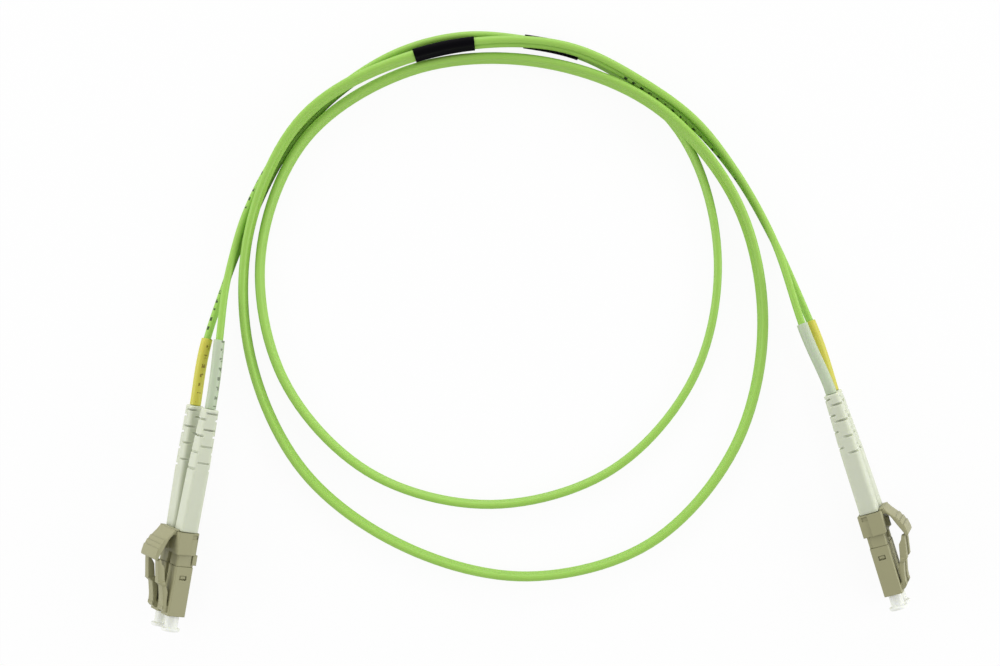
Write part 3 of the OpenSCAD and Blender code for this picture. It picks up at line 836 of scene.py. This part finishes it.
def arm_grid(outside, inside, half_width, edge):
    """Rounded rectangles from inside[i] to outside[i], 2 x half_width[i] wide,
    with corners of radius edge, or ROUNDEST of what there is room for. Points are
    (x, z) in the plug's side view."""
    rise = outside - inside
    thick = np.linalg.norm(rise, axis=1)
    e = rise / thick[:, None]
    r = np.minimum(edge, np.minimum(half_width, thick / 2) * ROUNDEST)
    corner = np.repeat([0, 1, 2, 3], CORNER_STEPS)
    turn = np.tile(np.linspace(0, np.pi / 2, CORNER_STEPS), 4) + corner * np.pi / 2
    y_sign = np.array([1, -1, -1, 1])[corner]
    u_sign = np.array([1, 1, -1, -1])[corner]
    y = y_sign * (half_width - r)[:, None] + r[:, None] * np.cos(turn)
    u = thick[:, None] / 2 + u_sign * (thick / 2 - r)[:, None] + r[:, None] * np.sin(turn)
    xz = inside[:, None] + u[..., None] * e[:, None]
    return np.stack([xz[..., 0], y, xz[..., 1]], axis=2)


def through(points, count):
    """Smooth curve through the points, by chord length: a cubic between each two,
    whose rate at a point is numpy's gradient there."""
    p = np.asarray(points, float)
    s = length_along(p)
    rate = np.gradient(p, s, axis=0)
    q = np.linspace(0, s[-1], count)
    i = np.clip(np.searchsorted(s, q, side="right") - 1, 0, len(s) - 2)
    h = (s[i + 1] - s[i])[:, None]
    t = (q - s[i])[:, None] / h
    curve = (2 * t**3 - 3 * t**2 + 1) * p[i] + (t**3 - 2 * t**2 + t) * h * rate[i]
    return curve + (3 * t**2 - 2 * t**3) * p[i + 1] + (t**3 - t**2) * h * rate[i + 1]


print("a section of an arm has", 4 * CORNER_STEPS, "points")

# %% Triggers
TRIGGER_BACK = [
    (-0.44, 3.0), (-0.36, 3.6), (0.1, 3.98), (0.7, 4.35), (1.5, 5.0),
    (2.65, 5.87), (3.8, 6.57), (5.0, 7.16), (6.1, 7.5), (7.0, 7.56),
]
TRIGGER_BELLY = [
    (0.86, 3.0), (0.88, 3.3), (0.95, 3.68), (1.3, 4.15), (1.95, 4.62),
    (3.1, 5.12), (4.3, 5.6), (5.45, 6.1), (6.3, 6.46), (7.0, 6.68),
]
TRIGGER_HALF, TRIGGER_EDGE, TRIGGER_STEPS = 4.5, 0.22, 150
RIB_COUNT, RIB_RISE = 3, 0.22
RIB_FROM, RIB_TO = 0.46, 0.86
TIP_FORWARD = np.array([0.3, -0.05])
TIP_BLUNT, TIP_NARROWER, TIP_STEPS = 0.3, 0.25, 7


def trigger_grid():
    """Arm from the clip's top to the tip, with ribs on its back. A rib rises at
    once and falls off slowly: rise x (1 - t) with t from 0 to 1 along it. The tip
    goes forward by t and shrinks by sqrt(1 - t^2), down to TIP_BLUNT."""
    back, belly = through(TRIGGER_BACK, TRIGGER_STEPS), through(TRIGGER_BELLY, TRIGGER_STEPS)
    rise = (back - belly) / np.linalg.norm(back - belly, axis=1)[:, None]
    share = (np.linspace(0, 1, TRIGGER_STEPS) - RIB_FROM) / (RIB_TO - RIB_FROM) * RIB_COUNT
    ribs = np.where((share > 0) & (share < RIB_COUNT), 1 - share % 1, 0) * RIB_RISE
    back = back + ribs[:, None] * rise
    t = np.linspace(0, 1, TIP_STEPS + 1)[1:, None]
    shrink = np.maximum(np.sqrt(1 - t**2), TIP_BLUNT)
    centre = (back[-1] + belly[-1]) / 2
    tip = [centre + (edge[-1] - centre) * shrink + TIP_FORWARD * t for edge in (back, belly)]
    narrower = TRIGGER_HALF - TIP_NARROWER * t[:, 0] ** 3
    width = np.r_[np.full(TRIGGER_STEPS, TRIGGER_HALF), narrower]
    return arm_grid(np.vstack([back, tip[0]]), np.vstack([belly, tip[1]]), width, TRIGGER_EDGE)


for end in PLACES:
    name = f"{end}_trigger_arm"
    mesh = grid_mesh(name, to_scene(trigger_grid(), end))
    trigger = add_piece(name, mesh, PLUG_PLASTIC, sharp=50)
    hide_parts(f"{end}_trigger")
    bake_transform(trigger)
    print(name, len(trigger.data.polygons), "faces")

# %% Latches
# The shoulders that lock into an adapter are where the half width is 1.48.
LATCH_OUTSIDE = [
    (7.05, 6.2), (7.5, 6.45), (9.0, 6.22), (12.62, 5.58), (12.66, 5.56), (13.3, 4.62),
    (13.42, 4.5), (15.0, 4.12), (16.6, 3.74), (18.3, 3.56), (19.1, 3.25), (19.6, 2.2),
]
LATCH_INSIDE = [
    (7.08, 5.75), (7.95, 5.42), (9.0, 4.57), (12.0, 3.9), (12.3, 3.84), (12.9, 3.68),
    (13.2, 3.52), (14.6, 2.77), (16.2, 2.66), (17.6, 2.62), (17.95, 2.4), (18.0, 2.1),
]
LATCH_HALF = [0.95, 1.02, 1.02, 1.02, 1.48, 1.48, 1.32, 1.32, 1.34, 1.42, 1.42, 1.42]
LATCH_EDGE, LATCH_STEPS = 0.16, 44


def latch_grid():
    """Arm from the tip under the trigger to its root on the nose's front. Between
    two points of the lists the arm changes evenly."""
    rows = np.arange(len(LATCH_HALF))
    fine = np.unique(np.r_[np.linspace(0, rows[-1], LATCH_STEPS + 1), rows])

    def between(outline):
        return np.stack([np.interp(fine, rows, values) for values in zip(*outline)], axis=1)

    half = np.interp(fine, rows, LATCH_HALF)
    return arm_grid(between(LATCH_OUTSIDE), between(LATCH_INSIDE), half, LATCH_EDGE)


for end, leg in PLUGS:
    name = f"{end}_{leg}_latch_arm"
    mesh = grid_mesh(name, to_scene(latch_grid(), end, leg))
    latch = add_piece(name, mesh, PLUG_PLASTIC, sharp=35)
    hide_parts(f"{end}_{leg}_latch")
    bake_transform(latch)
print("latch arm", len(latch.data.polygons), "faces")

# %% [markdown]
# ## Turned and moulded round pieces
# Dust caps, ferrules, flanges and crimp sleeves are round, so each is a profile
# turned about the plug's axis. A Screw modifier does the same to a drawn line.
# Here the line is (x, radius) pairs, so sizes can be read off it. It goes round
# the wall, inside and outside. Where it reaches the axis the ring has no radius
# and its points merge into one.

# %% Round pieces
def turned(profile, sides=40):
    """Grid (points of the profile) x sides: (x, r cos a, r sin a)."""
    p = np.asarray(profile, float)
    a = np.arange(sides) * 2 * np.pi / sides
    ring = np.stack([np.zeros(sides), np.cos(a), np.sin(a)], axis=1)
    return p[:, :1, None] * np.array([1.0, 0, 0]) + p[:, 1:, None] * ring[None]


def rounded_profile(corners, radius):
    """Corners of a profile, each cut by a small quarter bow of the given radius."""
    c = np.asarray(corners, float)
    out = [c[:1]]
    t = np.linspace(0, 1, 5)[:, None]
    for before, at, after in zip(c[:-2], c[1:-1], c[2:]):
        r = min(radius, np.linalg.norm(at - before) / 2.01, np.linalg.norm(after - at) / 2.01)
        a = at + (before - at) / np.linalg.norm(before - at) * r
        b = at + (after - at) / np.linalg.norm(after - at) * r
        out.append((1 - t) ** 2 * a + 2 * t * (1 - t) * at + t**2 * b)
    out.append(c[-1:])
    return np.vstack(out)


CAP = [
    (22.3, 0), (22.3, 0.65), (16.6, 0.65), (16.6, 1.55), (23.15, 1.6),
    (23.35, 2.25), (24.0, 2.2), (24.0, 1.1), (23.75, 0.8), (23.75, 0),
]
FERRULE = [(14.4, 0), (14.4, 0.6245), (21.3, 0.6245), (21.8, 0.45), (21.8, 0)]
FLANGE = [
    (14.4, 0.64), (15.15, 0.64), (15.15, 1.3), (13.55, 1.3), (13.55, 0.8),
    (11.0, 0.8), (11.0, 0.5), (14.3, 0.5), (14.4, 0.64),
]
CRIMP = [
    (-8.5, 0.95), (-8.5, 1.4), (-8.2, 1.45), (-6.9, 1.45), (-6.7, 1.3), (-1.4, 1.3),
    (-1.2, 1.45), (-0.5, 1.45), (-0.5, 1.2), (-6.7, 1.2), (-6.9, 0.95), (-8.5, 0.95),
]
# What it is in CAD, the body it moves with, slot, material, profile, corner radius.
ROUND_PIECES = [
    ("dust_cap", "dust_cap", "cap", CAP_PLASTIC, CAP, 0.12),
    ("ferrule", "ferrule_unit", "ceramic", ZIRCONIA, FERRULE, 0.08),
    ("ferrule_flange", "ferrule_unit", "steel", TURNED_STEEL, FLANGE, 0.06),
    ("crimp_sleeve", None, "crimp_metal", CRIMP_METAL, CRIMP, 0.05),
]
for end, leg in PLUGS:
    for node_name, body, slot, material, corners, radius in ROUND_PIECES:
        name = f"{end}_{leg}_{node_name}_turned"
        closed = corners[0] == corners[-1]
        profile = rounded_profile(corners, radius)[: -1 if closed else None]
        grid = to_scene(turned(profile), end, leg)
        piece = add_piece(name, grid_mesh(name, grid, wrap_rows=closed), material)
        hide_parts(f"{end}_{leg}_{node_name}")
        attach(piece, f"{end}_{leg}_{body}" if body else "root")
print("round pieces:", len(PLUGS) * len(ROUND_PIECES))

# %% [markdown]
# ## Springs and fibres
# The spring is a wire circle carried along a helix. As the ferrule slides back
# the real one gets shorter between its two seats. The buffered fibre
# keeps its CAD solid, which is a plain rod, and only takes its material.

# %% Springs
COIL_FROM, COIL_TO, COIL_RADIUS, COIL_TURNS = 5.88, 13.37, 1.025, 5.5
WIRE_RADIUS, WIRE_SIDES, STEPS_PER_TURN = 0.125, 10, 36


def spring_grid():
    """Helix (x, R cos a, R sin a), x growing evenly with a, with the wire's circle
    in the plane of the axis and the radius."""
    a = np.linspace(0, COIL_TURNS * 2 * np.pi, int(COIL_TURNS * STEPS_PER_TURN) + 1)
    out = np.stack([np.zeros_like(a), np.cos(a), np.sin(a)], axis=1)
    x = np.linspace(COIL_FROM, COIL_TO, len(a))[:, None]
    line = COIL_RADIUS * out + x * np.array([1.0, 0, 0])
    back = np.broadcast_to([-1.0, 0, 0], out.shape)
    return tube_grid(line, out, back, WIRE_RADIUS, WIRE_SIDES)


for end, leg in PLUGS:
    name = f"{end}_{leg}_spring_coil"
    spring = add_piece(name, grid_mesh(name, to_scene(spring_grid(), end, leg)), SPRING_WIRE)
    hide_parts(f"{end}_{leg}_spring")
    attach(spring, "root")
    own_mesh(spring)
    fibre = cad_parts[f"{end}_{leg}_fibre"]
    for place in fibre.material_slots:
        place.material = BUFFER
print("springs of", len(spring.data.polygons), "faces")

# %% [markdown]
# ## Table and light
# The cord lies on a white table. To the camera the table is nearly plain white,
# and a little of its own shading is kept, so that the object still throws a
# soft shadow. Soft boxes stand low at the left, the right and the far side, so
# that faces turned that way are brighter than those that face up, and a bright
# even room fills the rest.

# %% Table
TABLE_HALF = 3.0
TABLE_PALE = (0.9, 0.9, 0.9, 1)
WHITE = (1, 1, 1, 1)
SEEN_WHITE = 0.93

corners = [(x * TABLE_HALF, y * TABLE_HALF, 0) for x, y in ((-1, -1), (1, -1), (1, 1), (-1, 1))]
table_mesh = bpy.data.meshes.new("table")
table_mesh.from_pydata(corners, [], [(0, 1, 2, 3)])
table = bpy.data.objects.new("table", table_mesh)
bpy.context.scene.collection.objects.link(table)

TABLE_WHITE, tree = new_material("white table")
matt = add_node(tree, "ShaderNodeBsdfDiffuse", {"Color": TABLE_PALE}).outputs[0]
white = add_node(tree, "ShaderNodeEmission", {"Color": WHITE, "Strength": 1.0}).outputs[0]
to_camera = add_node(tree, "ShaderNodeLightPath").outputs["Is Camera Ray"]
share = add_node(tree, "ShaderNodeMath", {0: to_camera, 1: SEEN_WHITE}, operation="MULTIPLY")
mixed = add_node(tree, "ShaderNodeMixShader", {0: share.outputs[0], 1: matt, 2: white})
finish_material(tree, mixed.outputs[0])
table_mesh.materials.append(TABLE_WHITE)
print("table is", 2 * TABLE_HALF, "m wide")

# %% Light
ROOM_STRENGTH = 0.63
SOFTBOX_SIZE = (0.9, 0.4)
LIGHT_AIM = Vector((0, 0.04, 0))
# Each softbox has its place in metres and its power in watts.
SOFTBOXES = (
    ("left softbox", (-0.85, 0.04, 0.33), 2.9),
    ("right softbox", (0.85, 0.04, 0.33), 3.7),
    ("far softbox", (0, 0.9, 0.33), 3.6),
)

world = bpy.data.worlds.new("bright room")
bpy.context.scene.world = world
world.use_nodes = True
sky = world.node_tree
sky.nodes.clear()
room = add_node(sky, "ShaderNodeBackground", {"Color": WHITE, "Strength": ROOM_STRENGTH})
add_node(sky, "ShaderNodeOutputWorld", {"Surface": room.outputs[0]})

for name, place, watts in SOFTBOXES:
    lamp_data = bpy.data.lights.new(name, "AREA")
    lamp_data.shape = "RECTANGLE"
    lamp_data.size, lamp_data.size_y = SOFTBOX_SIZE
    lamp_data.energy = watts
    lamp = bpy.data.objects.new(name, lamp_data)
    lamp.location = place
    lamp.rotation_euler = (LIGHT_AIM - lamp.location).to_track_quat("-Z", "Y").to_euler()
    bpy.context.scene.collection.objects.link(lamp)
    print(name, round((LIGHT_AIM - lamp.location).length, 2), "m away")
bpy.context.scene.view_settings.view_transform = "Standard"
